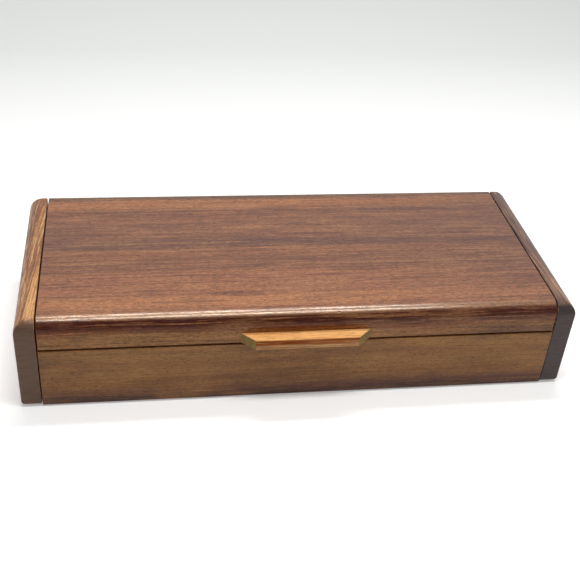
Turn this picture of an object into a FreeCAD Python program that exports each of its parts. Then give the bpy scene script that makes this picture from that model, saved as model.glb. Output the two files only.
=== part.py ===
"""A valet box: a hardwood case whose lid swings up between the two end panels, over a lined tray,
with a shallow drawer under the tray. The drawer's front is the whole lower front of the case.

Millimetres. X runs along the box to the right, Y from the front to the back, and Z up. The origin is
on the table, at the middle of the footprint with the lid's pull included.
"""

import FreeCAD, Part
import os

import Sketcher

SIZES = [
    # the case
    ("case_width", 305.6, "over both end panels"),
    ("case_depth", 127, "front face to back face, without the pull"),
    ("case_height", 56.5, "table to the top of the lid"),
    ("end_thick", 10.8, "end panels"),
    ("back_thick", 9.5, "back board"),
    ("bottom_thick", 3, "case bottom"),
    ("bottom_lip", 1.5, "wood under the groove that holds the case bottom"),
    ("deck_thick", 2.5, "floor of the tray"),
    ("groove_deep", 3, "grooves in the case for the bottom and the deck"),
    ("dowel_radius", 2.5, "dowels from the ends into the back board"),
    ("dowel_in_end", 6, "depth of a dowel in an end panel"),
    ("dowel_in_back", 12, "depth of a dowel in the back board"),
    ("dowel_spread", 18, "between the two dowels at each end of the back board"),
    ("foot_radius", 3.5, "felt feet"),
    ("foot_high", 0.7, "felt feet"),
    ("foot_inset", 12, "foot centre from the front or back face"),
    # rounded edges
    ("top_round", 8, "front and outer top edges"),
    ("rear_round", 1.2, "rear top edges"),
    ("corner_ease", 1.2, "front upright corners"),
    ("base_round", 2.8, "lower outer edges of the ends"),
    ("edge_ease", 0.5, "all other edges that show"),
    # the lid
    ("lid_thick", 17.6, "lid board"),
    ("lid_gap", 1.2, "open joint under the lid"),
    ("lid_side_gap", 0.75, "lid to end panel"),
    ("recess_deep", 8, "hollow in the underside of the lid"),
    ("recess_front", 18, "wood in front of the hollow"),
    ("recess_side", 14, "wood beside the hollow"),
    ("recess_rear", 24, "wood behind the hollow"),
    ("recess_corner", 4, "corner radius of the hollow"),
    ("pin_radius", 1.5, "hinge pins"),
    ("pin_inset", 8.5, "hinge axis from the lid's rear face and underside"),
    ("pin_in_lid", 10, "depth of the hinge bore in the lid"),
    ("pin_play", 0.05, "radial play of a pin in the lid"),
    ("pin_end_play", 0.5, "pin end to the bottom of its bore"),
    ("pin_set_in", 0.3, "pin end below the face of the end panel"),
    ("bumper_radius", 2.5, "felt dots that the lid closes on"),
    ("bumper_inset", 25, "dot centre from an end panel"),
    ("bumper_play", 0.2, "dot to the closed lid"),
    # the pull
    ("pull_width", 70.5, "pull, along its long edge against the lid"),
    ("pull_depth", 7.1, "pull, standing out from the lid"),
    ("pull_high", 6.1, "pull, from bottom to top"),
    ("pull_lift", 0.3, "pull above the lid's underside"),
    ("pull_slant", 7.3, "how far each end is cut back towards the front"),
    ("pull_ease", 0.35, "edges of the pull"),
    ("pull_dowel_radius", 1.5, "dowels of the pull"),
    ("pull_dowel_in", 4, "depth of a dowel in the pull"),
    ("pull_dowel_hold", 6, "depth of a dowel in the lid"),
    ("pull_dowel_spread", 36, "between the two dowels"),
    # the tray
    ("rail_thick", 6, "front rail of the tray"),
    ("divider_thick", 4, "tray dividers"),
    ("divider_drop", 1.5, "divider top below the rail's top"),
    ("divider_spread", 104, "between the centres of the two dividers that run to the back"),
    ("cross_place", 55, "short cross divider behind the tray's front rail"),
    ("felt_thick", 1, "linings"),
    ("felt_play", 0.3, "lining to the wood round it"),
    # the drawer
    ("front_thick", 9.5, "drawer front"),
    ("front_play_left", 0.5, "drawer front to the left end"),
    ("front_play_right", 0.2, "drawer front to the right end"),
    ("front_lift", 0.3, "drawer front above the level of the ends' lower edges"),
    ("drawer_play", 0.3, "drawer to the case bottom, the deck and the tray's rail"),
    ("drawer_side_play", 0.6, "drawer side to an end panel"),
    ("drawer_rear_play", 2, "drawer back to the back board"),
    ("side_thick", 6, "drawer sides and back"),
    ("side_high", 16, "drawer sides and back"),
    ("side_in_front", 4, "rebate in the drawer front that takes a side"),
    ("floor_thick", 2.5, "drawer bottom"),
    ("floor_lip", 1.5, "wood under the groove of the drawer bottom"),
    ("floor_groove", 2.5, "grooves of the drawer bottom"),
    ("partition_thick", 4, "drawer partition"),
    ("partition_drop", 2, "partition top below the sides' top"),
    ("partition_place", 46, "partition to the right of the middle"),
    ("scoop_radius", 30, "finger notch at the top of the drawer front and of the rail behind it"),
    ("scoop_floor", 4, "wood left in the rail under the notch"),
    ("scoop_deep", 5, "how far into the drawer front the notch reaches from behind"),
    ("stop_radius", 1.5, "drawer stop pins"),
    ("stop_rise", 1.2, "stop pins above the case bottom"),
    ("stop_inset", 12, "stop pin centre behind the case bottom's front edge"),
    ("stop_side_inset", 52, "stop pin centre from an end panel"),
]

doc = FreeCAD.newDocument("valet_box")
sizes = doc.addObject("Spreadsheet::Sheet", "sizes")
for row, (alias, value, note) in enumerate(SIZES, start=1):
    sizes.set(f"A{row}", note)
    sizes.set(f"B{row}", str(value))
    sizes.setAlias(f"B{row}", alias)
doc.recompute()

# Places that several pieces share, as expressions of the sheet's sizes.
FRONT = "((sizes.pull_depth - sizes.case_depth) / 2)"
BACK = "((sizes.pull_depth + sizes.case_depth) / 2)"
INNER = "(sizes.case_width / 2 - sizes.end_thick)"
BACK_INNER = f"({BACK} - sizes.back_thick)"
RAIL_FRONT = f"({FRONT} + sizes.front_thick + sizes.drawer_play)"
RAIL_BACK = f"({RAIL_FRONT} + sizes.rail_thick)"
LID_UNDER = "(sizes.case_height - sizes.lid_thick)"
RIM = f"({LID_UNDER} - sizes.lid_gap)"
PANEL_LOW = "(sizes.foot_high + sizes.bottom_lip)"
PANEL_TOP = f"({PANEL_LOW} + sizes.bottom_thick)"
BOX_LOW = f"({PANEL_TOP} + sizes.drawer_play)"
BOX_TOP = f"({BOX_LOW} + sizes.side_high)"
DECK_LOW = f"({BOX_TOP} + sizes.drawer_play)"
DECK_TOP = f"({DECK_LOW} + sizes.deck_thick)"
FLOOR_LOW = f"({BOX_LOW} + sizes.floor_lip)"
FLOOR_TOP = f"({FLOOR_LOW} + sizes.floor_thick)"

pieces = []


def keep(thing, label):
    """Names a finished piece, and lists it to be written out."""
    thing.Label = label
    pieces.append(thing)
    return thing


def place(thing, x, y, z):
    """Binds a thing's position to three expressions."""
    for axis, value in zip("xyz", (x, y, z)):
        thing.setExpression(f"Placement.Base.{axis}", value)


def blank(label, x, y, z, long, deep, high):
    """A board planed to size, with its low corner at x, y, z: a rectangle long by deep, padded up by high."""
    board = doc.addObject("PartDesign::Body", label)
    place(board, x, y, z)
    plane = next(f for f in board.Origin.OriginFeatures if f.Role == "XY_Plane")
    outline = board.newObject("Sketcher::SketchObject", f"{label}_outline")
    outline.AttachmentSupport = [(plane, "")]
    outline.MapMode = "FlatFace"
    rough = size("end_thick")
    corners = [FreeCAD.Vector(*c, 0) for c in ((0, 0), (rough, 0), (rough, rough), (0, rough))]
    for n in range(4):
        outline.addGeometry(Part.LineSegment(corners[n], corners[(n + 1) % 4]), False)
    for n in range(4):
        outline.addConstraint(Sketcher.Constraint("Coincident", n, 2, (n + 1) % 4, 1))
        outline.addConstraint(Sketcher.Constraint("Vertical" if n % 2 else "Horizontal", n))
    outline.addConstraint(Sketcher.Constraint("Coincident", 0, 1, -1, 1))
    for name, kind, line, value in (("long", "DistanceX", 0, long), ("deep", "DistanceY", 1, deep)):
        index = outline.addConstraint(Sketcher.Constraint(kind, line, 1, line, 2, rough))
        outline.renameConstraint(index, name)
        outline.setExpression(f"Constraints.{name}", value)
    pad = board.newObject("PartDesign::Pad", f"{label}_board")
    pad.Profile = outline
    pad.setExpression("Length", high)
    board.Tip = pad
    doc.recompute()
    return board


def cut_box(board, name, x, y, z, long, deep, high):
    """A groove, rebate or pocket: a box taken out of a board, placed in the board's own coordinates."""
    cut = board.newObject("PartDesign::SubtractiveBox", name)
    for side, value in (("Length", long), ("Width", deep), ("Height", high)):
        cut.setExpression(side, value)
    place(cut, x, y, z)
    board.Tip = cut
    doc.recompute()
    return cut


def cut_hole(board, name, axis, x, y, z, radius, long):
    """A round hole from x, y, z along an axis vector, in the board's own coordinates."""
    cut = board.newObject("PartDesign::SubtractiveCylinder", name)
    cut.Placement.Rotation = FreeCAD.Rotation(FreeCAD.Vector(0, 0, 1), FreeCAD.Vector(*axis))
    cut.setExpression("Radius", radius)
    cut.setExpression("Height", long)
    place(cut, x, y, z)
    board.Tip = cut
    doc.recompute()
    return cut


def edges_at(shape, **planes):
    """Names the edges that lie wholly in the given planes, such as x=0, z=20."""
    near = 0.01
    found = []
    for number, edge in enumerate(shape.Edges, start=1):
        box = edge.BoundBox
        spans = {"x": (box.XMin, box.XMax), "y": (box.YMin, box.YMax), "z": (box.ZMin, box.ZMax)}
        if all(abs(end - at) < near for axis, at in planes.items() for end in spans[axis]):
            found.append(f"Edge{number}")
    return found


def soften(board, name, radius, *planes):
    """Rounds the edges of a board that lie in the given sets of planes, by a size of the sheet."""
    base = board.Tip
    chosen = sorted({e for where in planes for e in edges_at(base.Shape, **where)})
    fillet = board.newObject("PartDesign::Fillet", name)
    fillet.Base = (base, chosen)
    fillet.setExpression("Radius", f"sizes.{radius}")
    board.Tip = fillet
    doc.recompute()
    return fillet


def mirrored(source, label):
    """The same piece on the other side of the middle of the box."""
    twin = doc.addObject("Part::Mirroring", label)
    twin.Source = source
    twin.Base = (0, 0, 0)
    twin.Normal = (1, 0, 0)
    return keep(twin, label)


def cylinder(name, axis, x, y, z, radius, long):
    """A plain round pin, dowel or disc."""
    made = doc.addObject("Part::Cylinder", name)
    made.Placement.Rotation = FreeCAD.Rotation(FreeCAD.Vector(0, 0, 1), FreeCAD.Vector(*axis))
    made.setExpression("Radius", radius)
    made.setExpression("Height", long)
    place(made, x, y, z)
    return made


def group(label, members):
    """Several like solids kept as one piece."""
    made = doc.addObject("Part::Compound", label)
    made.Links = members
    return keep(made, label)


def size(alias):
    """A size as a number, for picking edges."""
    return float(sizes.get(alias))


def level(expression):
    """The worth of one of the shared expressions, for picking edges."""
    return float(sizes.evalExpression(expression))


def end_panels():
    """Both ends: rounded on top and outside, grooved for the bottom, the deck and the tray's rail."""
    high = size("case_height") - size("foot_high")
    deep = size("case_depth")
    end = blank(
        "left_end", "-sizes.case_width / 2", FRONT, "sizes.foot_high",
        "sizes.end_thick", "sizes.case_depth", "sizes.case_height - sizes.foot_high",
    )
    soften(end, "top_rounds", "top_round", {"y": 0, "z": high}, {"x": 0, "z": high})
    soften(end, "front_corner", "corner_ease", {"x": 0, "y": 0})
    soften(end, "rear_top_edge", "rear_round", {"y": deep, "z": high})
    soften(end, "lower_edge", "base_round", {"x": 0, "z": 0})
    soften(end, "inner_edges", "edge_ease", {"x": size("end_thick"), "z": high})
    inside = "sizes.end_thick - sizes.groove_deep"
    behind_front = f"{RAIL_FRONT} - {FRONT}"
    groove_long = f"{BACK_INNER} + sizes.groove_deep - {RAIL_FRONT}"
    cut_box(
        end, "bottom_groove", inside, behind_front, "sizes.bottom_lip",
        "sizes.groove_deep", groove_long, "sizes.bottom_thick",
    )
    cut_box(
        end, "deck_groove", inside, behind_front, f"{DECK_LOW} - sizes.foot_high",
        "sizes.groove_deep", groove_long, "sizes.deck_thick",
    )
    cut_box(
        end, "rail_groove", inside, behind_front, f"{DECK_TOP} - sizes.foot_high",
        "sizes.groove_deep", "sizes.rail_thick", f"{RIM} - {DECK_TOP}",
    )
    for turn in (-1, 1):
        cut_hole(
            end, f"dowel_hole_{'low' if turn < 0 else 'high'}", (1, 0, 0),
            "sizes.end_thick - sizes.dowel_in_end", "sizes.case_depth - sizes.back_thick / 2",
            f"({RIM} - sizes.foot_high + {turn} * sizes.dowel_spread) / 2",
            "sizes.dowel_radius", "sizes.dowel_in_end",
        )
    cut_hole(
        end, "pin_hole", (1, 0, 0), "0 mm", "sizes.case_depth - sizes.pin_inset",
        f"{LID_UNDER} + sizes.pin_inset - sizes.foot_high", "sizes.pin_radius", "sizes.end_thick",
    )
    keep(end, "left_end")
    mirrored(end, "right_end")


def back_board():
    """The back, butted between the ends and held by four dowels, grooved for the bottom and the deck."""
    long = f"2 * {INNER}"
    board = blank(
        "back_board", f"-{INNER}", BACK_INNER, "sizes.foot_high",
        long, "sizes.back_thick", f"{RIM} - sizes.foot_high",
    )
    soften(
        board, "eased_edges", "edge_ease",
        {"y": size("back_thick"), "z": 0}, {"y": size("back_thick"), "z": level(RIM) - size("foot_high")},
    )
    for name, low, high in (
        ("bottom_groove", "sizes.bottom_lip", "sizes.bottom_thick"),
        ("deck_groove", f"{DECK_LOW} - sizes.foot_high", "sizes.deck_thick"),
    ):
        cut_box(board, name, "0 mm", "0 mm", low, long, "sizes.groove_deep", high)
    for side, start, axis in (("left", "0 mm", (1, 0, 0)), ("right", long, (-1, 0, 0))):
        for turn in (-1, 1):
            cut_hole(
                board, f"dowel_hole_{side}_{'low' if turn < 0 else 'high'}", axis,
                start, "sizes.back_thick / 2",
                f"({RIM} - sizes.foot_high + {turn} * sizes.dowel_spread) / 2",
                "sizes.dowel_radius", "sizes.dowel_in_back",
            )
    keep(board, "back_board")


def case_dowels():
    """Four hardwood dowels that pin the ends to the back board."""
    dowels = []
    for side, start, axis in (("left", f"-{INNER} - sizes.dowel_in_end", (1, 0, 0)),
                              ("right", f"{INNER} + sizes.dowel_in_end", (-1, 0, 0))):
        for turn in (-1, 1):
            dowels.append(cylinder(
                f"case_dowel_{side}_{'low' if turn < 0 else 'high'}", axis, start,
                f"{BACK} - sizes.back_thick / 2",
                f"({RIM} + sizes.foot_high + {turn} * sizes.dowel_spread) / 2",
                "sizes.dowel_radius", "sizes.dowel_in_end + sizes.dowel_in_back",
            ))
    group("case_dowels", dowels)


def case_bottom():
    """A thin panel in the grooves of the ends and the back; two stop pins stand in it near the front."""
    panel = blank(
        "case_bottom", f"-{INNER} - sizes.groove_deep", RAIL_FRONT, PANEL_LOW,
        f"2 * ({INNER} + sizes.groove_deep)", f"{BACK_INNER} + sizes.groove_deep - {RAIL_FRONT}",
        "sizes.bottom_thick",
    )
    for side, turn in (("left", -1), ("right", 1)):
        cut_hole(
            panel, f"stop_hole_{side}", (0, 0, 1),
            f"{INNER} + sizes.groove_deep + {turn} * ({INNER} - sizes.stop_side_inset)",
            "sizes.stop_inset", "0 mm",
            "sizes.stop_radius", "sizes.bottom_thick",
        )
    keep(panel, "case_bottom")
    group("drawer_stop_pins", [
        cylinder(
            f"stop_pin_{side}", (0, 0, 1), f"{turn} * ({INNER} - sizes.stop_side_inset)",
            f"{RAIL_FRONT} + sizes.stop_inset", PANEL_LOW,
            "sizes.stop_radius", "sizes.bottom_thick + sizes.stop_rise",
        )
        for side, turn in (("left", -1), ("right", 1))
    ])


def tray():
    """The fixed tray over the drawer: a thin deck, a front rail with a finger notch, and dividers."""
    deck = blank(
        "tray_deck", f"-{INNER} - sizes.groove_deep", RAIL_FRONT, DECK_LOW,
        f"2 * ({INNER} + sizes.groove_deep)", f"{BACK_INNER} + sizes.groove_deep - {RAIL_FRONT}",
        "sizes.deck_thick",
    )
    keep(deck, "tray_deck")
    rail = blank(
        "tray_front_rail", f"-{INNER} - sizes.groove_deep", RAIL_FRONT, DECK_TOP,
        f"2 * ({INNER} + sizes.groove_deep)", "sizes.rail_thick", f"{RIM} - {DECK_TOP}",
    )
    cut_hole(
        rail, "finger_notch", (0, 1, 0), f"{INNER} + sizes.groove_deep", "0 mm",
        "sizes.scoop_floor + sizes.scoop_radius", "sizes.scoop_radius", "sizes.rail_thick",
    )
    keep(rail, "tray_front_rail")
    high = f"{RIM} - sizes.divider_drop - {DECK_TOP}"
    for side, turn in (("left", -1), ("right", 1)):
        keep(blank(
            f"tray_divider_{side}", f"({turn} * sizes.divider_spread - sizes.divider_thick) / 2",
            RAIL_BACK, DECK_TOP, "sizes.divider_thick", f"{BACK_INNER} - {RAIL_BACK}", high,
        ), f"tray_divider_{side}")
    start = "(sizes.divider_spread + sizes.divider_thick) / 2"
    keep(blank(
        "tray_divider_cross", start, f"{RAIL_BACK} + sizes.cross_place", DECK_TOP,
        f"{INNER} - {start}", "sizes.divider_thick", high,
    ), "tray_divider_cross")


def lining(name, x_low, x_high, y_low, y_high, z_low):
    """A rectangle of felt laid in a compartment, a little clear of the wood round it."""
    felt = doc.addObject("Part::Box", name)
    felt.setExpression("Length", f"{x_high} - {x_low} - 2 * sizes.felt_play")
    felt.setExpression("Width", f"{y_high} - {y_low} - 2 * sizes.felt_play")
    felt.setExpression("Height", "sizes.felt_thick")
    place(felt, f"{x_low} + sizes.felt_play", f"{y_low} + sizes.felt_play", z_low)
    return felt


def tray_linings():
    """Felt on the deck in each of the tray's four compartments."""
    wall = "(sizes.divider_spread + sizes.divider_thick) / 2"
    clear = "(sizes.divider_spread - sizes.divider_thick) / 2"
    cross = f"({RAIL_BACK} + sizes.cross_place)"
    group("tray_linings", [
        lining("lining_left", f"-{INNER}", f"(-{wall})", RAIL_BACK, BACK_INNER, DECK_TOP),
        lining("lining_middle", f"-{clear}", f"{clear}", RAIL_BACK, BACK_INNER, DECK_TOP),
        lining("lining_front", f"{wall}", INNER, RAIL_BACK, cross, DECK_TOP),
        lining("lining_rear", f"{wall}", INNER, f"({cross} + sizes.divider_thick)", BACK_INNER, DECK_TOP),
    ])


def feet():
    """Four felt discs under the ends."""
    discs = []
    for side, turn in (("left", -1), ("right", 1)):
        for spot, y in (("front", f"{FRONT} + sizes.foot_inset"), ("rear", f"{BACK} - sizes.foot_inset")):
            discs.append(cylinder(
                f"foot_{side}_{spot}", (0, 0, 1),
                f"{turn} * (sizes.case_width - sizes.end_thick - sizes.base_round) / 2", y, "0 mm",
                "sizes.foot_radius", "sizes.foot_high",
            ))
    group("felt_feet", discs)


def hinge_pins():
    """Two brass pins pressed through the ends, on which the lid turns."""
    for side, turn in (("left", -1), ("right", 1)):
        keep(cylinder(
            f"hinge_pin_{side}", (-turn, 0, 0),
            f"{turn} * (sizes.case_width / 2 - sizes.pin_set_in)",
            f"{BACK} - sizes.pin_inset", f"{LID_UNDER} + sizes.pin_inset", "sizes.pin_radius",
            "sizes.end_thick - sizes.pin_set_in + sizes.lid_side_gap + sizes.pin_in_lid",
        ), f"hinge_pin_{side}")


def bumpers():
    """Two felt dots on the tray's rail, which keep the joint under the lid open and the lid quiet."""
    group("lid_bumpers", [
        cylinder(
            f"bumper_{side}", (0, 0, 1), f"{turn} * ({INNER} - sizes.bumper_inset)",
            f"({RAIL_FRONT} + {RAIL_BACK}) / 2", RIM,
            "sizes.bumper_radius", "sizes.lid_gap - sizes.bumper_play",
        )
        for side, turn in (("left", -1), ("right", 1))
    ])


def lid():
    """A solid board, hollowed below, that turns on the pins; its lower rear edge is round about them."""
    lid_long = f"2 * ({INNER} - sizes.lid_side_gap)"
    long = level(lid_long)
    deep = size("case_depth")
    high = size("lid_thick")
    board = blank(
        "lid_panel", f"-{INNER} + sizes.lid_side_gap", FRONT, LID_UNDER,
        lid_long, "sizes.case_depth", "sizes.lid_thick",
    )
    soften(board, "front_round", "top_round", {"y": 0, "z": high})
    soften(board, "rear_top_edge", "rear_round", {"y": deep, "z": high})
    soften(board, "hinge_round", "pin_inset", {"y": deep, "z": 0})
    soften(
        board, "eased_edges", "edge_ease",
        {"x": 0, "z": high}, {"x": long, "z": high}, {"y": 0, "z": 0},
    )
    recess_long = f"{lid_long} - 2 * sizes.recess_side"
    recess_wide = "sizes.case_depth - sizes.recess_front - sizes.recess_rear"
    cut_box(
        board, "recess", "sizes.recess_side", "sizes.recess_front", "0 mm",
        recess_long, recess_wide, "sizes.recess_deep",
    )
    across = (size("recess_side"), long - size("recess_side"))
    along = (size("recess_front"), deep - size("recess_rear"))
    soften(board, "recess_corners", "recess_corner", *({"x": x, "y": y} for x in across for y in along))
    for side, start, axis in (("left", "0 mm", (1, 0, 0)), ("right", lid_long, (-1, 0, 0))):
        cut_hole(
            board, f"pin_bore_{side}", axis, start, "sizes.case_depth - sizes.pin_inset",
            "sizes.pin_inset", "sizes.pin_radius + sizes.pin_play", "sizes.pin_in_lid + sizes.pin_end_play",
        )
    for side, turn in (("left", -1), ("right", 1)):
        cut_hole(
            board, f"pull_dowel_hole_{side}", (0, 1, 0),
            f"{INNER} - sizes.lid_side_gap + {turn} * sizes.pull_dowel_spread / 2", "0 mm",
            "sizes.pull_lift + sizes.pull_high / 2", "sizes.pull_dowel_radius", "sizes.pull_dowel_hold",
        )
    keep(board, "lid_panel")
    felt = blank(
        "lid_lining", f"-{INNER} + sizes.lid_side_gap + sizes.recess_side + sizes.felt_play",
        f"{FRONT} + sizes.recess_front + sizes.felt_play",
        f"{LID_UNDER} + sizes.recess_deep - sizes.felt_thick",
        f"{recess_long} - 2 * sizes.felt_play", f"{recess_wide} - 2 * sizes.felt_play", "sizes.felt_thick",
    )
    felt_long = long - 2 * size("recess_side") - 2 * size("felt_play")
    felt_wide = along[1] - along[0] - 2 * size("felt_play")
    corners = ({"x": x, "y": y} for x in (0, felt_long) for y in (0, felt_wide))
    soften(felt, "lining_corners", "recess_corner", *corners)
    keep(felt, "lid_lining")


def pull():
    """A small mitred bar on the lid's front, near its lower edge, held by two dowels."""
    bar = doc.addObject("PartDesign::Body", "lid_pull")
    low = f"({LID_UNDER} + sizes.pull_lift)"
    place(bar, "-sizes.pull_width / 2", f"{FRONT} - sizes.pull_depth", low)
    wedge = bar.newObject("PartDesign::AdditiveWedge", "mitred_bar")
    for corner, value in (
        ("Xmin", "sizes.pull_slant"), ("Xmax", "sizes.pull_width - sizes.pull_slant"),
        ("X2min", "0 mm"), ("X2max", "sizes.pull_width"),
        ("Ymin", "0 mm"), ("Ymax", "sizes.pull_depth"),
        ("Zmin", "0 mm"), ("Zmax", "sizes.pull_high"), ("Z2min", "0 mm"), ("Z2max", "sizes.pull_high"),
    ):
        wedge.setExpression(corner, value)
    bar.Tip = wedge
    doc.recompute()
    soften(bar, "eased_edges", "pull_ease", {"y": 0})
    for side, turn in (("left", -1), ("right", 1)):
        cut_hole(
            bar, f"dowel_hole_{side}", (0, -1, 0),
            f"(sizes.pull_width + {turn} * sizes.pull_dowel_spread) / 2", "sizes.pull_depth",
            "sizes.pull_high / 2", "sizes.pull_dowel_radius", "sizes.pull_dowel_in",
        )
    keep(bar, "lid_pull")
    group("pull_dowels", [
        cylinder(
            f"pull_dowel_{side}", (0, 1, 0), f"{turn} * sizes.pull_dowel_spread / 2",
            f"{FRONT} - sizes.pull_dowel_in", f"{low} + sizes.pull_high / 2",
            "sizes.pull_dowel_radius", "sizes.pull_dowel_in + sizes.pull_dowel_hold",
        )
        for side, turn in (("left", -1), ("right", 1))
    ])


def drawer():
    """The drawer: a full front with a finger notch, two sides, a back, a floor and a partition."""
    left = f"(-{INNER} + sizes.front_play_left)"
    low = "(sizes.foot_high + sizes.front_lift)"
    outer = f"({INNER} - sizes.drawer_side_play)"
    inner = f"({outer} - sizes.side_thick)"
    front_back = f"({FRONT} + sizes.front_thick)"
    tail = f"({BACK_INNER} - sizes.drawer_rear_play)"
    back_face = f"({tail} - sizes.side_thick)"

    face_span = f"2 * {INNER} - sizes.front_play_left - sizes.front_play_right"
    front = blank("drawer_front", left, FRONT, low, face_span, "sizes.front_thick", f"{RIM} - {low}")
    soften(front, "eased_edges", "edge_ease", {"y": 0})
    for side, start in (("left", f"-{outer}"), ("right", inner)):
        cut_box(
            front, f"side_rebate_{side}", f"{start} - {left}", "sizes.front_thick - sizes.side_in_front",
            f"{BOX_LOW} - {low}", "sizes.side_thick", "sizes.side_in_front", "sizes.side_high",
        )
    cut_box(
        front, "floor_groove", f"-{inner} - {left}", "sizes.front_thick - sizes.floor_groove",
        f"{FLOOR_LOW} - {low}", f"2 * {inner}", "sizes.floor_groove", "sizes.floor_thick",
    )
    cut_hole(
        front, "finger_notch", (0, 1, 0), f"-{left}", "sizes.front_thick - sizes.scoop_deep",
        f"{DECK_TOP} + sizes.scoop_floor - {low} + sizes.scoop_radius",
        "sizes.scoop_radius", "sizes.scoop_deep",
    )
    keep(front, "drawer_front")

    start = f"({front_back} - sizes.side_in_front)"
    floor_deep = f"{back_face} - {front_back} + 2 * sizes.floor_groove"
    side = blank(
        "drawer_side_left", f"-{outer}", start, BOX_LOW,
        "sizes.side_thick", f"{tail} - {start}", "sizes.side_high",
    )
    cut_box(
        side, "floor_groove",
        "sizes.side_thick - sizes.floor_groove", "sizes.side_in_front - sizes.floor_groove",
        "sizes.floor_lip",
        "sizes.floor_groove", floor_deep, "sizes.floor_thick",
    )
    keep(side, "drawer_side_left")
    mirrored(side, "drawer_side_right")

    back = blank(
        "drawer_back", f"-{inner}", back_face, BOX_LOW,
        f"2 * {inner}", "sizes.side_thick", "sizes.side_high",
    )
    cut_box(
        back, "floor_groove", "0 mm", "0 mm", "sizes.floor_lip",
        f"2 * {inner}", "sizes.floor_groove", "sizes.floor_thick",
    )
    keep(back, "drawer_back")

    floor = doc.addObject("Part::Box", "floor_sheet")
    floor.setExpression("Length", f"2 * ({inner} + sizes.floor_groove)")
    floor.setExpression("Width", floor_deep)
    floor.setExpression("Height", "sizes.floor_thick")
    place(floor, f"-{inner} - sizes.floor_groove", f"{front_back} - sizes.floor_groove", FLOOR_LOW)
    keep(floor, "drawer_bottom")

    keep(blank(
        "drawer_partition", "sizes.partition_place - sizes.partition_thick / 2", front_back, FLOOR_TOP,
        "sizes.partition_thick", f"{back_face} - {front_back}",
        f"{BOX_TOP} - sizes.partition_drop - {FLOOR_TOP}",
    ), "drawer_partition")
    group("drawer_linings", [
        lining(
            "drawer_lining_left", f"-{inner}", "(sizes.partition_place - sizes.partition_thick / 2)",
            front_back, back_face, FLOOR_TOP,
        ),
        lining(
            "drawer_lining_right", "(sizes.partition_place + sizes.partition_thick / 2)", inner,
            front_back, back_face, FLOOR_TOP,
        ),
    ])


end_panels()
back_board()
case_dowels()
case_bottom()
tray()
tray_linings()
feet()
hinge_pins()
bumpers()
lid()
pull()
drawer()

doc.recompute()
for thing in doc.Objects:
    if {"Invalid", "Error"} & set(thing.State):
        raise RuntimeError(f"{thing.Label} could not be worked out")
for piece in pieces:
    if piece.Shape.isNull() or not piece.Shape.isValid():
        raise RuntimeError(f"{piece.Label} has no sound shape")

os.makedirs("parts", exist_ok=True)
for piece in pieces:
    piece.Shape.exportStep(f"parts/{piece.Label}.step")
    box = piece.Shape.optimalBoundingBox(False, False)
    print(f"{piece.Label:22s} {piece.Shape.Volume:10.1f} mm3  {len(piece.Shape.Solids)} solid(s)  {box}")
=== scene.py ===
import math

import bmesh
import bpy
from mathutils import Matrix, Vector, noise


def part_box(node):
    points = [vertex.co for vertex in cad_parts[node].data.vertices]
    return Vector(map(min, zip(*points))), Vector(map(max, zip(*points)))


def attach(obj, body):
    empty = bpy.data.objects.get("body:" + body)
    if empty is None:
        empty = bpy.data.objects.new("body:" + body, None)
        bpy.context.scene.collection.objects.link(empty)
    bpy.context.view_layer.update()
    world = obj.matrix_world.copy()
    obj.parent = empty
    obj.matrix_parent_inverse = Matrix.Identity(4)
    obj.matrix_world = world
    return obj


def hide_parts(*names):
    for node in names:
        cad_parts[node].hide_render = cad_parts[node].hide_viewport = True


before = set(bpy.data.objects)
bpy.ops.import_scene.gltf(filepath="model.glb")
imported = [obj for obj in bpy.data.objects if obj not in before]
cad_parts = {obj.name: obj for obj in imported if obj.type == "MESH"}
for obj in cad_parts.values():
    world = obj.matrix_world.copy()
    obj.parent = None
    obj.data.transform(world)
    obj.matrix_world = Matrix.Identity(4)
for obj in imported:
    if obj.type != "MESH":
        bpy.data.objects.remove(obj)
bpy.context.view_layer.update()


# End panels: two boards of pau ferro stood on edge, with the grain running from the front to the back.
# Their front faces are end grain, rubbed with oil like the rest, which is why they look nearly black.

MM = 0.001


def linear(hex_colour):
    """An sRGB hex colour as the linear colour that a shader takes."""
    parts = [int(hex_colour[i:i + 2], 16) / 255 for i in (1, 3, 5)]
    return [p / 12.92 if p <= 0.04045 else ((p + 0.055) / 1.055) ** 2.4 for p in parts] + [1]


def add(tree, kind, sockets=None, **settings):
    """Adds a node with its settings; a socket is given either another node's output or a plain value."""
    node = tree.nodes.new(kind)
    for name, value in settings.items():
        setattr(node, name, value)
    for socket, value in (sockets or {}).items():
        if isinstance(value, bpy.types.NodeSocket):
            tree.links.new(value, node.inputs[socket])
        else:
            node.inputs[socket].default_value = value
    return node


def blank(name):
    """A new material, with its nodes and its shader."""
    material = bpy.data.materials.new(name)
    material.use_nodes = True
    return material, material.node_tree, material.node_tree.nodes["Principled BSDF"]


def patches(tree, vector, long, wide, deep=None, detail=2.0, rough=0.5):
    """Patches of about that many mm along the grain, across it and through the board."""
    spread = add(tree, "ShaderNodeVectorMath", {
        0: vector, 1: (1 / long, 1 / wide, 1 / (deep or wide)),
    }, operation="MULTIPLY")
    return add(tree, "ShaderNodeTexNoise", {
        "Vector": spread.outputs[0], "Scale": 1.0, "Detail": detail, "Roughness": rough,
    })


def graded(tree, distance, stops, shift=0.0):
    """A colour that changes with a distance over the board, from stops of (mm, colour)."""
    first, last = stops[0][0], stops[-1][0]
    share = add(tree, "ShaderNodeMapRange", {
        "Value": distance, "From Min": first + shift, "From Max": last + shift,
    })
    scale = add(tree, "ShaderNodeValToRGB", {0: share.outputs[0]})
    marks = scale.color_ramp.elements
    while len(marks) < len(stops):
        marks.new(1)
    for mark, (place, colour) in zip(marks, stops):
        mark.position = (place - first) / (last - first)
        mark.color = colour
    return scale.outputs[0]


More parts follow.
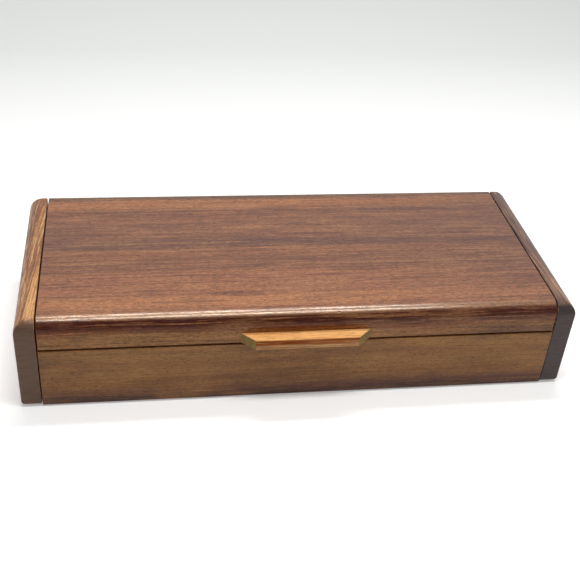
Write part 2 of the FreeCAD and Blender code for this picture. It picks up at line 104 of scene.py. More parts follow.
def strayed(tree, board, wander):
    """Places in the board, moved as its growth layers stray from a straight line by that many mm."""
    drift = patches(tree, board, long=110, wide=30).outputs["Color"]
    stray = add(tree, "ShaderNodeVectorMath", {0: drift, 1: (0.5, 0.5, 0.5)}, operation="SUBTRACT")
    reach = wander / 0.25     # the noise strays by about a quarter either way
    return add(tree, "ShaderNodeVectorMath", {
        0: stray.outputs[0], 1: (0, reach, reach), 2: board,
    }, operation="MULTIPLY_ADD").outputs[0]


def streaked(tree, colour, wavy, streak, tones, streaky, cloudy):
    """The colour with darker and lighter growth layers, from broad clouds to fine streaks."""
    cloud = patches(tree, wavy, long=34, wide=11).outputs["Fac"]
    line = patches(tree, wavy, long=90, wide=1.6, detail=3, rough=0.6).outputs["Fac"]
    for pattern, starts, full, most, tone in (
        (cloud, 0.5, 0.72, cloudy, "dark"),
        (cloud, 0.5, 0.28, cloudy, "light"),
        (line, 0.52, 0.66, 0.55 * streaky, "dark"),
        (line, 0.48, 0.34, 0.45 * streaky, "light"),
        (streak, 0.53, 0.66, 0.5 * streaky, "dark"),
        (streak, 0.47, 0.34, 0.45 * streaky, "light"),
    ):
        share = add(tree, "ShaderNodeMapRange", {
            "Value": pattern, "From Min": starts, "From Max": full, "To Max": most,
        }, interpolation_type="SMOOTHSTEP")
        colour = add(tree, "ShaderNodeMix", {
            0: share.outputs[0], 6: colour, 7: linear(tones[tone]),
        }, data_type="RGBA").outputs[2]
    return colour


def fibrous(tree, colour, wavy, pore_long, fine):
    """The colour with fibres that are lighter or darker by that share."""
    fibre = patches(tree, wavy, long=2 * pore_long, wide=0.6, rough=0.6).outputs["Fac"]
    shade = add(tree, "ShaderNodeMapRange", {
        "Value": fibre, "From Min": 0.37, "From Max": 0.63, "To Min": 1 - fine, "To Max": 1 + fine,
    }, interpolation_type="SMOOTHSTEP")
    return add(tree, "ShaderNodeMix", {
        0: 1.0, 6: colour, 7: shade.outputs[0],
    }, data_type="RGBA", blend_type="MULTIPLY").outputs[2]


def end_grained(tree, colour, board, spot, angles, end):
    """The colour, but end grain with the growth layers cut across on faces that are square to the grain."""
    facing = add(tree, "ShaderNodeMapping", {
        "Vector": spot.outputs["Normal"], "Rotation": angles,
    }, vector_type="NORMAL")
    along = add(tree, "ShaderNodeSeparateXYZ", {0: facing.outputs[0]}).outputs["X"]
    square = add(tree, "ShaderNodeMath", {0: along}, operation="ABSOLUTE").outputs[0]
    layer = patches(tree, board, long=4, wide=10, deep=0.9, detail=3).outputs["Fac"]
    layered = add(tree, "ShaderNodeMapRange", {
        "Value": layer, "From Min": 0.3, "From Max": 0.7, "To Min": 0.85, "To Max": 1.15,
    }, interpolation_type="SMOOTHSTEP")
    end_grain = add(tree, "ShaderNodeMix", {
        0: 1.0, 6: linear(end), 7: layered.outputs[0],
    }, data_type="RGBA", blend_type="MULTIPLY").outputs[2]
    sawn = add(tree, "ShaderNodeMapRange", {
        "Value": square, "From Min": 0.2, "From Max": 0.8,
    }, interpolation_type="SMOOTHSTEP")
    return add(tree, "ShaderNodeMix", {
        0: sawn.outputs[0], 6: colour, 7: end_grain,
    }, data_type="RGBA").outputs[2]


def wood(name, turn, bands, tones, streaky, lean=0.0, face=0.0, wander=2.5, cloudy=0.3, pores=1.0,
         pore_long=2.6, fine=0.15, roughness=0.4, shine=0.3, relief=0.07, darker=()):
    """Solid wood under a little oil, whose figure runs right through the board.

    The turn, in degrees, lays the grain along X. The bands are (mm across the board, tone) and the tones
    hex colours, with "dark" and "light" for the streaks, "pore" for the open pores and "end" for end
    grain. Lean tips the growth layers, whose bands are then counted at the height of the face, and wander
    is how far in mm they stray. Streaky, cloudy and pores say how strongly those marks show, and fine is
    the share by which a fibre is lighter or darker. Pore_long and relief are in mm. Shine is one level or
    stops of (mm across, level), and darker is stops of (mm along, share of dark).
    """
    material, tree, shader = blank(name)
    spot = add(tree, "ShaderNodeTexCoord")
    angles = [math.radians(a) for a in turn]
    board = add(tree, "ShaderNodeMapping", {
        "Vector": spot.outputs["Object"], "Rotation": angles, "Scale": [1 / MM] * 3,
    }).outputs[0]
    wavy = strayed(tree, board, wander)

    across = add(tree, "ShaderNodeVectorMath", {0: wavy, 1: (0, 1, lean)}, operation="DOT_PRODUCT")
    figure = [(x, linear(tones[tone])) for x, tone in bands]
    colour = graded(tree, across.outputs["Value"], figure, lean * face)
    if darker:
        length = add(tree, "ShaderNodeSeparateXYZ", {0: board}).outputs["X"]
        uneven = graded(tree, length, [(x, (dark, dark, dark, 1)) for x, dark in darker])
        colour = add(tree, "ShaderNodeMix", {
            0: uneven, 6: colour, 7: linear(tones["dark"]),
        }, data_type="RGBA").outputs[2]

    # Growth layers show as long lines, fibres as short ones, and the pores as dark dashes. A real fibre
    # or pore is under 0.3 mm wide, so all of them are drawn coarser, or they wouldn't show.
    streak = patches(tree, wavy, long=26, wide=0.8, detail=3, rough=0.6).outputs["Fac"]
    colour = streaked(tree, colour, wavy, streak, tones, streaky, cloudy)
    colour = fibrous(tree, colour, wavy, pore_long, fine)
    dash = patches(tree, wavy, long=pore_long, wide=0.7, detail=1).outputs["Fac"]
    pore = add(tree, "ShaderNodeMapRange", {
        "Value": dash, "From Min": 0.6, "From Max": 0.68,
    }, interpolation_type="SMOOTHSTEP").outputs[0]
    filled = add(tree, "ShaderNodeMath", {0: pore, 1: 0.6 * pores}, operation="MULTIPLY")
    colour = add(tree, "ShaderNodeMix", {
        0: filled.outputs[0], 6: colour, 7: linear(tones["pore"]),
    }, data_type="RGBA").outputs[2]
    colour = end_grained(tree, colour, board, spot, angles, tones["end"])
    tree.links.new(colour, shader.inputs["Base Color"])

    # The oil gives a soft yellowish sheen, a little duller over the streaks, and leaves the pores open.
    shader.inputs["Specular Tint"].default_value = (1.0, 0.9, 0.78, 1.0)
    if isinstance(shine, float):
        shader.inputs["Specular IOR Level"].default_value = shine
    else:
        even = add(tree, "ShaderNodeVectorMath", {0: board, 1: (0, 1, lean)}, operation="DOT_PRODUCT")
        levels = [(x, (level, level, level, 1)) for x, level in shine]
        polish = graded(tree, even.outputs["Value"], levels, lean * face)
        tree.links.new(polish, shader.inputs["Specular IOR Level"])
    satin = add(tree, "ShaderNodeMapRange", {
        "Value": streak, "From Min": 0.3, "From Max": 0.7,
        "To Min": roughness - 0.05, "To Max": roughness + 0.08,
    }, interpolation_type="SMOOTHSTEP")
    tree.links.new(satin.outputs[0], shader.inputs["Roughness"])
    height = add(tree, "ShaderNodeMath", {0: pore, 1: -0.4, 2: streak}, operation="MULTIPLY_ADD")
    bump = add(tree, "ShaderNodeBump", {
        "Height": height.outputs[0], "Strength": 1.0, "Distance": relief * MM,
    })
    tree.links.new(bump.outputs[0], shader.inputs["Normal"])
    return material


def dress(name, material):
    """Gives a piece of the frame its finish."""
    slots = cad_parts[name].data.materials
    slots.clear()
    slots.append(material)


# Oiled pau ferro, cut a little off the line of its grain: orange-brown and violet-brown lines cross it.
# The right end has the darker, greyer heart of the same plank.
left_tones = {
    "gold": "#D99F66", "orange": "#B57B4D", "tan": "#A06D48", "brown": "#88583F", "violet": "#6F4B44",
    "dark": "#744834", "light": "#E9B87E", "pore": "#5A3A26", "end": "#654C3E",
}
right_tones = {
    "tan": "#A27863", "brown": "#7E5A4D", "violet": "#694B48", "grey": "#6A5150",
    "dark": "#4A393A", "light": "#C4996F", "pore": "#4A3732", "end": "#473D3D",
}
left_bands = [
    (134, "orange"), (136, "gold"), (140, "gold"), (142, "orange"), (143.5, "brown"), (145.5, "tan"),
    (147.5, "orange"), (149, "brown"), (151, "tan"), (153, "brown"), (155.5, "violet"), (158, "brown"),
    (161, "violet"), (170, "brown"), (179, "tan"), (187, "brown"), (196, "orange"), (207, "brown"),
    (219, "violet"), (233, "tan"),
]
right_bands = [
    (-236, "tan"), (-222, "violet"), (-210, "brown"), (-196, "tan"), (-187, "brown"), (-176, "grey"),
    (-166, "violet"), (-156, "violet"), (-153, "brown"), (-151, "tan"), (-149.5, "violet"), (-148, "tan"),
    (-146.5, "brown"), (-145, "tan"), (-143.5, "brown"), (-142, "violet"), (-138, "grey"),
]
END_LEAN = 1.5
end_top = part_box("left_end")[1].z / MM
left_wood = wood(
    "oiled_pau_ferro_left_end", (0, 0, -85), left_bands, left_tones, streaky=1.3, lean=-END_LEAN,
    face=end_top, wander=1.2, darker=[(-74, 0.0), (-45, 0.0), (-25, 0.15), (15, 0.2), (55, 0.1)],
)
right_wood = wood(
    "oiled_pau_ferro_right_end", (0, 0, -93), right_bands, right_tones, streaky=1.1, lean=END_LEAN,
    face=end_top, wander=1.2, darker=[(-68, 0.0), (-35, 0.1), (0, 0.7), (60, 0.95)],
)
dress("left_end", left_wood)
dress("right_end", right_wood)


# Back board and drawer front: two plainer boards of walnut, equally thick, golden brown with a violet heart
# along the lower edge. That edge is also darkened as painted shade, as if the table in front lay in the box's
# shadow. The back is butted between the ends and held by four dowels.

walnut_tones = {
    "gold": "#96693C", "olive": "#8C5D35", "violet": "#42282E", "plum": "#623B36", "grey": "#855B3B",
    "dark": "#63422B", "light": "#A37241", "pore": "#46301E", "end": "#4E3C30",
}
# The turn stands the board on edge, so that its bands are counted in mm from the table. The violet and plum
# in the lowest 7 mm are partly the heart and partly painted shade.
walnut_bands = [
    (0, "violet"), (4, "violet"), (6.5, "plum"), (10, "grey"), (15, "olive"), (22, "gold"), (27, "olive"),
    (32, "gold"), (38, "gold"),
]
walnut = wood(
    "oiled_walnut_board", (-90, 0, 0), walnut_bands, walnut_tones, streaky=0.7, wander=1.0, cloudy=0.6,
    pore_long=1.6, darker=[(-150, 0.0), (-75, 0.02), (-30, 0.22), (30, 0.18), (75, 0.0), (150, 0.0)],
)
dress("back_board", walnut)


# Case bottom, tray deck and drawer bottom: thin panels of maple let into grooves in the boards round
# them, and the drawer's sides, partition and back of the same wood, sanded and left pale.

maple_tones = {
    "cream": "#C79A63", "straw": "#BE8F58", "dark": "#A67745", "light": "#D3A871",
    "pore": "#8F6238", "end": "#A37643",
}
maple_bands = [
    (-80, "cream"), (-52, "straw"), (-30, "cream"), (-8, "straw"), (20, "cream"), (48, "straw"),
    (80, "cream"),
]
# Across the drawer's sides the bands run the length of the box, and so are twice as wide.
side_bands = [(2 * x, tone) for x, tone in maple_bands]
maple_figure = {"streaky": 0.4, "pores": 0.5, "roughness": 0.5}
maple = wood("sanded_maple_panel", (0, 0, 1), maple_bands, maple_tones, **maple_figure)
maple_side = wood("sanded_maple_side", (0, 0, -90), side_bands, maple_tones, **maple_figure)
maple_back = wood("sanded_maple_back", (-90, 0, 0), maple_bands, maple_tones, **maple_figure)


def ease(name):
    """Takes the sharp edge off a plain board, as a few strokes of fine paper do."""
    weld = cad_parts[name].modifiers.new("closed", "WELD")
    weld.merge_threshold = 0.001 * MM
    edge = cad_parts[name].modifiers.new("eased", "BEVEL")
    edge.width = 0.35 * MM
    edge.segments = 2
    edge.limit_method = "ANGLE"
    edge.angle_limit = math.radians(40)
    edge.harden_normals = True


for panel in ("case_bottom", "tray_deck", "drawer_bottom"):
    dress(panel, maple)
for board in ("drawer_side_left", "drawer_side_right", "drawer_partition"):
    dress(board, maple_side)
    ease(board)
dress("drawer_back", maple_back)
ease("drawer_back")


# Tray rail and dividers: thin walnut strips glued on the deck. The two long ones and the short cross
# piece part the tray, and the rail has the notch through which the drawer front is pulled.

divider_bands = [
    (-60, "gold"), (-52, "olive"), (-40, "gold"), (40, "gold"), (52, "olive"), (60, "gold"),
]
walnut_strip = wood(
    "oiled_walnut_divider", (0, 0, -90), divider_bands, walnut_tones, streaky=0.6, wander=1.2,
)
for strip, finish in (
    ("tray_front_rail", walnut),
    ("tray_divider_cross", walnut),
    ("tray_divider_left", walnut_strip),
    ("tray_divider_right", walnut_strip),
):
    dress(strip, finish)
    ease(strip)


# Dowels and pins: fluted beech dowels hold the back board and the pull, and brass pins, turned and
# chamfered, make the hinge of the lid and the two drawer stops.

def skin(mesh, rings):
    """Covers rings of as many points each, and the first and last of them, with a closed skin."""
    around = len(rings[0])
    for first, second in zip(rings, rings[1:]):
        for n in range(around):
            mesh.faces.new((first[n], first[(n + 1) % around], second[(n + 1) % around], second[n]))
    mesh.faces.new(rings[0][::-1])
    mesh.faces.new(rings[-1])
    bmesh.ops.recalc_face_normals(mesh, faces=mesh.faces)


def piece(name, mesh, body, node):
    """Makes a new piece of a finished mesh, which rides on its body and stands for a node of the frame."""
    data = bpy.data.meshes.new(name)
    mesh.to_mesh(data)
    mesh.free()
    for face in data.polygons:
        face.use_smooth = True
    data.set_sharp_from_angle(angle=math.radians(35))
    made = bpy.data.objects.new(name, data)
    bpy.context.scene.collection.objects.link(made)
    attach(made, body)
    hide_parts(node)
    return made


def turned(name, body, node, start, along, stations, around=48, flutes=0, flute_deep=0.0):
    """A turned piece: (distance, radius) stations in mm from the start, with straight flutes if asked."""
    mesh = bmesh.new()
    along = Vector(along).normalized()
    side = along.orthogonal().normalized()
    up = along.cross(side)
    rings = []
    for distance, radius in stations:
        ring = []
        for n in range(around):
            angle = math.tau * n / around
            cut = flute_deep * max(0.0, math.cos(flutes * angle)) if flutes else 0.0
            out = (radius - cut) * MM
            ring.append(mesh.verts.new(start + along * distance * MM
                                       + side * out * math.cos(angle) + up * out * math.sin(angle)))
        rings.append(ring)
    skin(mesh, rings)
    return piece(name, mesh, body, node)


def rod(long, radius, chamfer):
    """Stations of a plain rod with chamfered ends."""
    return [(0, radius - chamfer), (chamfer, radius), (long - chamfer, radius), (long, radius - chamfer)]


# Beech, turned and fluted: pale with short darker flecks.
beech_tones = {"pale": "#C9A077", "dark": "#A87B52", "light": "#D8B48C", "pore": "#8C6240", "end": "#A98158"}
beech_bands = [(-60, "pale"), (60, "pale")]
beech = wood("turned_beech_dowel", (0, 0, 0), beech_bands, beech_tones, streaky=0.5, roughness=0.55)
beech_across = wood(
    "turned_beech_pull_dowel", (0, 0, -90), beech_bands, beech_tones, streaky=0.5, roughness=0.55,
)

# Brass, turned from rod and left to dull: fine rings round the axis, which show as a soft sheen.
brass, tree, shader = blank("turned_brass")
shader.inputs["Metallic"].default_value = 1.0
TURNING_MARK = 0.2     # mm from ring to ring along a hinge pin
TARNISH = 2            # mm: how wide the duller patches are
spot = add(tree, "ShaderNodeTexCoord")
marks = add(tree, "ShaderNodeVectorMath", {
    0: spot.outputs["Object"], 1: [1 / (TURNING_MARK * MM), 1 / (TARNISH * MM), 1 / (TARNISH * MM)],
}, operation="MULTIPLY")
tarnish = add(tree, "ShaderNodeTexNoise", {"Vector": marks.outputs[0], "Scale": 1.0, "Detail": 3.0})
tone = add(tree, "ShaderNodeMix", {
    0: tarnish.outputs["Fac"], 6: linear("#B08D4A"), 7: linear("#8A6A34"),
}, data_type="RGBA")
tree.links.new(tone.outputs[2], shader.inputs["Base Color"])
dull = add(tree, "ShaderNodeMapRange", {"Value": tarnish.outputs["Fac"], "To Min": 0.22, "To Max": 0.42})
tree.links.new(dull.outputs[0], shader.inputs["Roughness"])
lathe = add(tree, "ShaderNodeBump", {
    "Height": tarnish.outputs["Fac"], "Strength": 0.4, "Distance": 0.02 * MM,
})
tree.links.new(lathe.outputs[0], shader.inputs["Normal"])

DOWEL_RADIUS = 2.5
DOWEL_LONG = 18
low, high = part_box("case_dowels")
back_low, back_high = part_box("back_board")
for side, x, way in (("left", low.x, 1), ("right", high.x, -1)):
    for level, z in (("low", low.z + DOWEL_RADIUS * MM), ("high", high.z - DOWEL_RADIUS * MM)):
        start = Vector((x, (back_low.y + back_high.y) / 2, z))
        dowel = turned(
            f"case_dowel_{side}_{level}", "case", "case_dowels", start, (way, 0, 0),
            rod(DOWEL_LONG, DOWEL_RADIUS, 0.6), around=96, flutes=16, flute_deep=0.22,
        )
        dowel.data.materials.append(beech)

PULL_DOWEL_RADIUS = 1.5
low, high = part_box("pull_dowels")
for side, x in (("left", low.x + PULL_DOWEL_RADIUS * MM), ("right", high.x - PULL_DOWEL_RADIUS * MM)):
    dowel = turned(
        f"pull_dowel_{side}", "lid", "pull_dowels", Vector((x, low.y, (low.z + high.z) / 2)),
        (0, 1, 0), rod((high.y - low.y) / MM, PULL_DOWEL_RADIUS, 0.35), around=72, flutes=12, flute_deep=0.14,
    )
    dowel.data.materials.append(beech_across)

# A hinge pin is driven in from outside: its outer end is domed and its inner end chamfered.
PIN_RADIUS = 1.5
domed = [(0, 0.4), (0.04, 0.9), (0.14, 1.2), (0.4, PIN_RADIUS)]
for side, way in (("left", 1), ("right", -1)):
    low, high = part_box(f"hinge_pin_{side}")
    middle = (low + high) / 2
    long = (high.x - low.x) / MM
    outer = Vector((low.x if way > 0 else high.x, middle.y, middle.z))
    pin = turned(
        f"brass_hinge_pin_{side}", "case", f"hinge_pin_{side}", outer, (way, 0, 0),
        domed + [(long - 0.4, PIN_RADIUS), (long - 0.1, 1.2), (long, 0.9)],
    )
    pin.data.materials.append(brass)

STOP_RADIUS = 1.5
low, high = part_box("drawer_stop_pins")
for side, x in (("left", low.x + STOP_RADIUS * MM), ("right", high.x - STOP_RADIUS * MM)):
    pin = turned(
        f"brass_stop_pin_{side}", "case", "drawer_stop_pins",
        Vector((x, (low.y + high.y) / 2, low.z)), (0, 0, 1), rod((high.z - low.z) / MM, STOP_RADIUS, 0.3),
    )
    pin.data.materials.append(brass)


# Felt linings: pressed wool felt a millimetre thick, cut to each compartment and glued down, so that its
# edges roll over a little. The feet and the lid's two dots are punched from the same felt.

# Pressed wool felt, bottle green: matt, with matted fibres that catch a little light at a low angle.
felt, tree, shader = blank("pressed_wool_felt")
WOOL_FIBRE = 0.5     # mm: drawn coarser than the real 0.03 mm fibre, which wouldn't show
FELT_CLOUD = 9.0     # mm: how wide the patches are that took the dye a little better
spot = add(tree, "ShaderNodeTexCoord")
fuzz = add(tree, "ShaderNodeTexNoise", {
    "Vector": spot.outputs["Object"], "Scale": 1 / (WOOL_FIBRE * MM), "Detail": 3.0, "Distortion": 1.5,
})
patch = add(tree, "ShaderNodeTexNoise", {
    "Vector": spot.outputs["Object"], "Scale": 1 / (FELT_CLOUD * MM), "Detail": 2.0,
})
ground = add(tree, "ShaderNodeMix", {
    0: patch.outputs["Fac"], 6: linear("#1B3A2B"), 7: linear("#234735"),
}, data_type="RGBA")
tuft = add(tree, "ShaderNodeMapRange", {"Value": fuzz.outputs["Fac"], "From Min": 0.35, "From Max": 0.75})
cloth = add(tree, "ShaderNodeMix", {
    0: tuft.outputs[0], 6: ground.outputs[2], 7: linear("#3B6650"),
}, data_type="RGBA")
tree.links.new(cloth.outputs[2], shader.inputs["Base Color"])
shader.inputs["Roughness"].default_value = 0.95
shader.inputs["Sheen Weight"].default_value = 0.3
shader.inputs["Sheen Roughness"].default_value = 0.5
nap_bump = add(tree, "ShaderNodeBump", {
    "Height": fuzz.outputs["Fac"], "Strength": 0.8, "Distance": 0.25 * MM,
})
tree.links.new(nap_bump.outputs[0], shader.inputs["Normal"])


def rounded_outline(x_low, x_high, y_low, y_high, corner, inset, step=6.0, arc=5):
    """Points in mm round a rectangle with rounded corners, moved in from its edge; their number stays."""
    turn = max(corner - inset, 0.05)
    x_low, x_high, y_low, y_high = x_low + inset, x_high - inset, y_low + inset, y_high - inset
    centres = [(x_high - turn, y_low + turn, -90), (x_high - turn, y_high - turn, 0),
               (x_low + turn, y_high - turn, 90), (x_low + turn, y_low + turn, 180)]
    wide, deep = x_high - x_low + 2 * inset, y_high - y_low + 2 * inset
    spans = [max(2, round(deep / step)), max(2, round(wide / step))] * 2
    points = []
    for (x, y, first), (next_x, next_y, _), span in zip(centres, centres[1:] + centres[:1], spans):
        for n in range(arc + 1):
            angle = math.radians(first + 90 * n / arc)
            points.append((x + turn * math.cos(angle), y + turn * math.sin(angle)))
        # The straight run ends at the same angle on the next corner.
        last = points[-1]
        goal = (next_x + turn * math.cos(angle), next_y + turn * math.sin(angle))
        for n in range(1, span):
            share = n / span
            points.append((last[0] + (goal[0] - last[0]) * share, last[1] + (goal[1] - last[1]) * share))
    return points


def disc_outline(x, y, radius, inset, around=28):
    """Points in mm round a circle, moved in from its edge."""
    out = radius - inset
    return [(x + out * math.cos(math.tau * n / around), y + out * math.sin(math.tau * n / around))
            for n in range(around)]


ROLL_STEPS = (0, 20, 45, 70, 90)     # degrees round the rolled edge
RING_GAP = 3.0                       # mm between rings over the face
UNEVEN = 0.05                        # mm: how far the face is pressed in, more in some places than others
HUMP = 7                             # mm: how wide those places are


def felt_piece(name, body, node, outline, half, glued, nap, roll=0.45):
    """A piece of felt: rings of points from its glued side, round its rolled edge and over its face.

    The outline gives the points of a ring for an inset, half is half the piece's width, and glued and nap
    are the heights of its two sides, all in mm.
    """
    mesh = bmesh.new()
    facing = 1 if nap > glued else -1
    thick = abs(nap - glued)
    insets = [roll * (1 - math.cos(math.radians(a))) for a in ROLL_STEPS]
    heights = [thick - roll + roll * math.sin(math.radians(a)) for a in ROLL_STEPS]
    inside = roll + RING_GAP / 2
    while inside < half - 1:
        insets.append(inside)
        heights.append(thick)
        inside += RING_GAP
    rings = []
    for inset, height in [(0.0, 0.0), *zip(insets, heights)]:
        ring = []
        for x, y in outline(inset):
            hump = noise.noise(Vector((x / HUMP, y / HUMP, glued)))
            sunk = 0.0 if height == 0 else UNEVEN + UNEVEN * hump
            z = glued + facing * (height - sunk)
            ring.append(mesh.verts.new(Vector((x, y, z)) * MM))
        rings.append(ring)
    skin(mesh, rings)
    made = piece(name, mesh, body, node)
    made.data.materials.append(felt)
    return made


FELT_PLAY = 0.3     # mm between a lining and the walls round it


def lining(name, body, node, x_low, x_high, y_low, y_high, glued, nap, corner=0.6):
    """A rectangle of felt cut a little smaller than the compartment that it lies in, given in metres."""
    sides = [x_low / MM + FELT_PLAY, x_high / MM - FELT_PLAY, y_low / MM + FELT_PLAY, y_high / MM - FELT_PLAY]
    wide, deep = sides[1] - sides[0], sides[3] - sides[2]
    made = felt_piece(
        name, body, node, lambda inset: rounded_outline(*sides, corner, inset), min(wide, deep) / 2,
        glued / MM, nap / MM,
    )


felt_low, felt_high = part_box("tray_linings")
left_in, right_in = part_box("left_end")[1].x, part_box("right_end")[0].x
tray_front, tray_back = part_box("tray_front_rail")[1].y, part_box("back_board")[0].y
divider_left, divider_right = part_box("tray_divider_left"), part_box("tray_divider_right")
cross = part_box("tray_divider_cross")
for name, x_low, x_high, y_low, y_high in (
    ("left", left_in, divider_left[0].x, tray_front, tray_back),
    ("middle", divider_left[1].x, divider_right[0].x, tray_front, tray_back),
    ("front", divider_right[1].x, right_in, tray_front, cross[0].y),
    ("rear", divider_right[1].x, right_in, cross[1].y, tray_back),
):
    lining(f"tray_lining_{name}", "case", "tray_linings", x_low, x_high, y_low, y_high,
           felt_low.z, felt_high.z)

felt_low, felt_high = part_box("drawer_linings")
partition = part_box("drawer_partition")
side_left, side_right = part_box("drawer_side_left")[1].x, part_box("drawer_side_right")[0].x
drawer_in, drawer_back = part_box("drawer_front")[1].y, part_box("drawer_back")[0].y
for name, x_low, x_high in (("left", side_left, partition[0].x), ("right", partition[1].x, side_right)):
    lining(f"drawer_lining_{name}", "drawer", "drawer_linings", x_low, x_high, drawer_in, drawer_back,
           felt_low.z, felt_high.z)

felt_low, felt_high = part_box("lid_lining")
play = Vector((FELT_PLAY, FELT_PLAY, 0)) * MM
hollow_low, hollow_high = felt_low - play, felt_high + play
lining("lid_felt_lining", "lid", "lid_lining", hollow_low.x, hollow_high.x, hollow_low.y, hollow_high.y,
       felt_high.z, felt_low.z, corner=4.0)

# The feet are glued up under the box, and the dots, on which the lid closes, down on the tray's rail.
for node, radius, roll, under in (("felt_feet", 3.5, 0.25, True), ("lid_bumpers", 2.5, 0.35, False)):
    low, high = (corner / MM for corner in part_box(node))
    glued, nap = (high.z, low.z) if under else (low.z, high.z)
    rows = (low.y + radius, high.y - radius) if under else (low.y + radius,)
    for side, x in (("left", low.x + radius), ("right", high.x - radius)):
        for number, y in enumerate(rows, start=1):
            felt_piece(
                f"{node}_{side}_{number}", "case", node,
                lambda inset, x=x, y=y, radius=radius: disc_outline(x, y, radius, inset), radius,
                glued, nap, roll,
            )


# Lid: one wide board of pau ferro, hollowed below, with its front edge rounded over. Its figure is
# straight and streaky: violet-brown and orange bands that run nearly along the box.

lid_tones = {
    "orange": "#A36740", "amber": "#AF734E", "red": "#89563D", "rose": "#9A6346", "dull": "#80513C",
    "violet": "#794733", "plum": "#6C4537", "olive": "#6C4E3A", "dark": "#54322B", "light": "#AA7650",
    "pore": "#42261C", "wine": "#410F05", "rust": "#6F320B", "brown": "#91622F", "end": "#4A352B",
}
# Counted in mm from the lid's rear edge; past 127 they lie down its front face. The light band on the rounded
# edge, from 121.5 to 124, is a painted highlight. The wine band below it is partly a dark streak in the wood
# and partly painted shade, where the edge shows little sheen.
lid_bands = [
    (0, "olive"), (4, "olive"), (7, "orange"), (15, "orange"), (17, "red"), (19, "violet"), (23, "violet"),
    (26, "red"), (30, "red"), (34, "dull"), (48, "dull"), (52, "plum"), (59, "plum"), (62, "red"),
    (67, "red"), (73, "dull"), (82, "dull"), (86, "rose"), (104, "rose"), (108, "amber"), (116, "amber"),
    (119, "rose"), (120.5, "rose"), (121.5, "light"), (123.9, "light"), (125.8, "wine"), (129, "wine"),
    (131, "rust"), (133, "brown"), (140, "brown"),
]
# The rounded edge, from 120 to 125 mm, is burnished by the hand that lifts the lid.
lid_shine = [(0, 0.4), (119.5, 0.4), (120.7, 0.88), (124.2, 0.88), (126.2, 0.3), (140, 0.3)]
# Bands are counted across the board from the origin, so those from the rear edge are turned round.
rear, lid_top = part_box("lid_panel")[1].y / MM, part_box("lid_panel")[1].z / MM
# The darker share towards the right end is painted shade, as if less of the lamps' light reached that end.
lid_wood = wood(
    "oiled_pau_ferro_lid", (0, 0, 0), [(rear - x, tone) for x, tone in reversed(lid_bands)], lid_tones,
    streaky=0.9, lean=0.5, face=lid_top, wander=1.1, pores=0.9, pore_long=1.6, fine=0.25, roughness=0.2,
    shine=[(rear - x, level) for x, level in reversed(lid_shine)], relief=0.05,
    darker=[(-150, 0.0), (0, 0.0), (60, 0.2), (150, 0.5)],
)
dress("lid_panel", lid_wood)


# Pull: a small mitred bar of padauk-coloured cherry glued and dowelled to the lid's front edge. Its top
# is the pale outside of the plank, and its front shows the darker heart.

cherry_tones = {
    "pale": "#EBAB69", "heart": "#853903", "sand": "#A57551", "edge": "#C0925E",
    "dark": "#B97B42", "light": "#FAC88B", "pore": "#8A5424", "end": "#8C7446",
}
pull_low, pull_high = (corner.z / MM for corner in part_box("lid_pull"))
# The paler edge tone along the lowest 0.7 mm of the front is a painted reflection of the white table below
# it.
pull_bands = [
    (pull_low, "edge"), (pull_low + 0.3, "edge"), (pull_low + 0.7, "sand"), (pull_low + 2.2, "sand"),
    (pull_low + 3.2, "heart"), (pull_high - 0.3, "heart"), (pull_high - 0.15, "pale"), (pull_high, "pale"),
]
cherry = wood(
    "oiled_cherry_pull", (-90, 0, 0), pull_bands, cherry_tones, streaky=0.8, wander=0.0, cloudy=0.15,
    pores=0.2, shine=0.1,
)
dress("lid_pull", cherry)


# Drawer front: the whole lower front of the box, cut from the walnut board, with a finger notch behind
# its upper edge instead of a knob.

dress("drawer_front", walnut)


# The table: white paper that takes the box's shadow. Behind the box it is painted a pale grey, as painted
# shade where the lamps' light falls off, and further away it runs out into the white room. Seen directly or
# in a shiny surface, it is a little brighter than the light it gives, so that it stays white beside the dark
# wood.

paper, tree, shader = blank("matt_white_paper")
shader.inputs["Roughness"].default_value = 0.9
WHITE = linear("#FCFCFB")
spot = add(tree, "ShaderNodeTexCoord")
depth = add(tree, "ShaderNodeSeparateXYZ", {0: spot.outputs["Object"]})
# Painted shade: from 0.12 to 0.45 m behind the box the paper turns pale grey.
behind = add(tree, "ShaderNodeMapRange", {"Value": depth.outputs["Y"], "From Min": 0.12, "From Max": 0.45})
shaded = add(tree, "ShaderNodeMix", {
    0: behind.outputs[0], 6: WHITE, 7: linear("#D9DBD8"),
}, data_type="RGBA")
away = add(tree, "ShaderNodeVectorMath", {0: spot.outputs["Object"]}, operation="LENGTH")
far = add(tree, "ShaderNodeMapRange", {"Value": away.outputs["Value"], "From Min": 0.8, "From Max": 1.7})
tone = add(tree, "ShaderNodeMix", {
    0: far.outputs[0], 6: shaded.outputs[2], 7: WHITE,
}, data_type="RGBA")
tree.links.new(tone.outputs[2], shader.inputs["Base Color"])
tree.links.new(tone.outputs[2], shader.inputs["Emission Color"])


def mirrored(tree, ray):
    """1 for a ray that comes by way of a shiny or a clear surface, and 0 for any other."""
    return add(tree, "ShaderNodeMath", {
        0: ray.outputs["Is Glossy Ray"], 1: ray.outputs["Is Transmission Ray"],
    }, operation="MAXIMUM").outputs[0]


ray = add(tree, "ShaderNodeLightPath")
seen = add(tree, "ShaderNodeMath", {
    0: ray.outputs["Is Camera Ray"], 1: mirrored(tree, ray),
}, operation="MAXIMUM")
glow = add(tree, "ShaderNodeMapRange", {"Value": far.outputs[0], "To Min": 0.3, "To Max": 0.8})
lift = add(tree, "ShaderNodeMath", {0: seen.outputs[0], 1: glow.outputs[0]}, operation="MULTIPLY")
tree.links.new(lift.outputs[0], shader.inputs["Emission Strength"])

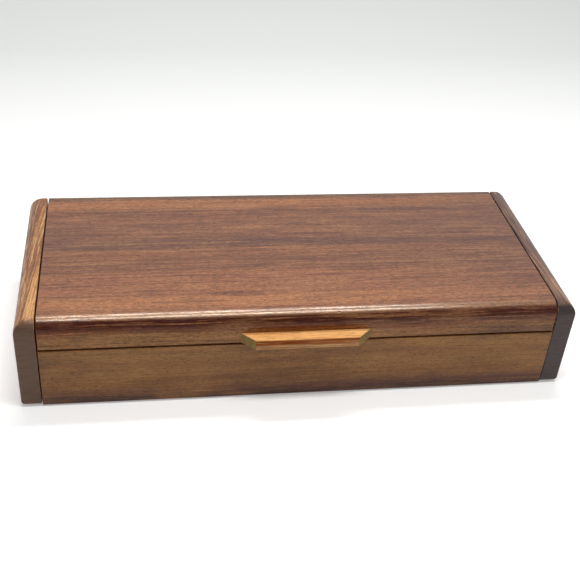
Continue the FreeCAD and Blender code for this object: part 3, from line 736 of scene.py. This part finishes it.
REACH = 3.0     # metres to each side
surface = bpy.data.meshes.new("floor")
corners = [(-REACH, -REACH, 0), (REACH, -REACH, 0), (REACH, REACH, 0), (-REACH, REACH, 0)]
surface.from_pydata(corners, [], [(0, 1, 2, 3)])
floor = bpy.data.objects.new("floor", surface)
bpy.context.scene.collection.objects.link(floor)
floor.data.materials.append(paper)


# The light: two long soft lamps side by side overhead, in a white room that is dimmer behind the camera.
# The rounded front edge of the lid reflects both lamps, as two pale lines all along the box.

world = bpy.data.worlds.new("white_room")
bpy.context.scene.world = world
world.use_nodes = True
tree = world.node_tree
backdrop = tree.nodes["Background"]
backdrop.inputs["Color"].default_value = (1, 1, 1, 1)
backdrop.inputs["Strength"].default_value = 1.0
ROOM_LIGHT = 0.27     # what the room gives the box, beside the lamps
toward = add(tree, "ShaderNodeTexCoord")
depth = add(tree, "ShaderNodeSeparateXYZ", {0: toward.outputs["Generated"]})
reflected = add(tree, "ShaderNodeMapRange", {
    "Value": depth.outputs["Y"], "From Min": -0.4, "From Max": 0.4, "To Min": 0.2, "To Max": 1.0,
})
ray = add(tree, "ShaderNodeLightPath")
strength = add(tree, "ShaderNodeMix", {0: mirrored(tree, ray), 2: ROOM_LIGHT, 3: reflected.outputs[0]})
room = add(tree, "ShaderNodeBackground", {"Color": (1, 1, 1, 1), "Strength": strength.outputs[0]})
choice = add(tree, "ShaderNodeMixShader", {
    0: ray.outputs["Is Camera Ray"], 1: room.outputs[0], 2: backdrop.outputs[0],
})
tree.links.new(choice.outputs[0], tree.nodes["World Output"].inputs["Surface"])

for name, y in (("rear_softbox", 0.25), ("front_softbox", -0.19)):
    lamp_data = bpy.data.lights.new(name, "AREA")
    lamp_data.shape = "RECTANGLE"
    lamp_data.size = 0.62
    lamp_data.size_y = 0.1
    lamp_data.energy = 4.3
    lamp = bpy.data.objects.new(name, lamp_data)
    lamp.location = (0.06, y, 1.0)
    bpy.context.scene.collection.objects.link(lamp)


# The camera stands to the left and above, as someone at a desk would look at the box, and is turned a
# few degrees about its own view.

LENS_PIXELS = 956.82     # focal length in pixels of a picture 580 wide
PICTURE = 580
TURNED, RAISED, TILTED = -0.19165, 0.61749, 0.08154     # radians: round the box, up, and about the view
AWAY = 577.69 * MM
AIM = Vector((1.676, 5.129, 25.7)) * MM

back = Vector((math.sin(TURNED) * math.cos(RAISED), -math.cos(TURNED) * math.cos(RAISED), math.sin(RAISED)))
level = (-back).cross(Vector((0, 0, 1))).normalized()
upward = level.cross(-back)
right = level * math.cos(TILTED) + upward * math.sin(TILTED)
up = -level * math.sin(TILTED) + upward * math.cos(TILTED)
camera_data = bpy.data.cameras.new("camera")
camera_data.sensor_width = 36
camera_data.lens = LENS_PIXELS / PICTURE * camera_data.sensor_width
camera_data.clip_start = 10 * MM
camera = bpy.data.objects.new("camera", camera_data)
stand = Matrix((right, up, back)).transposed().to_4x4()
stand.translation = AIM + back * AWAY
camera.matrix_world = stand
bpy.context.scene.collection.objects.link(camera)
bpy.context.scene.camera = camera
bpy.context.scene.view_settings.view_transform = "Standard"
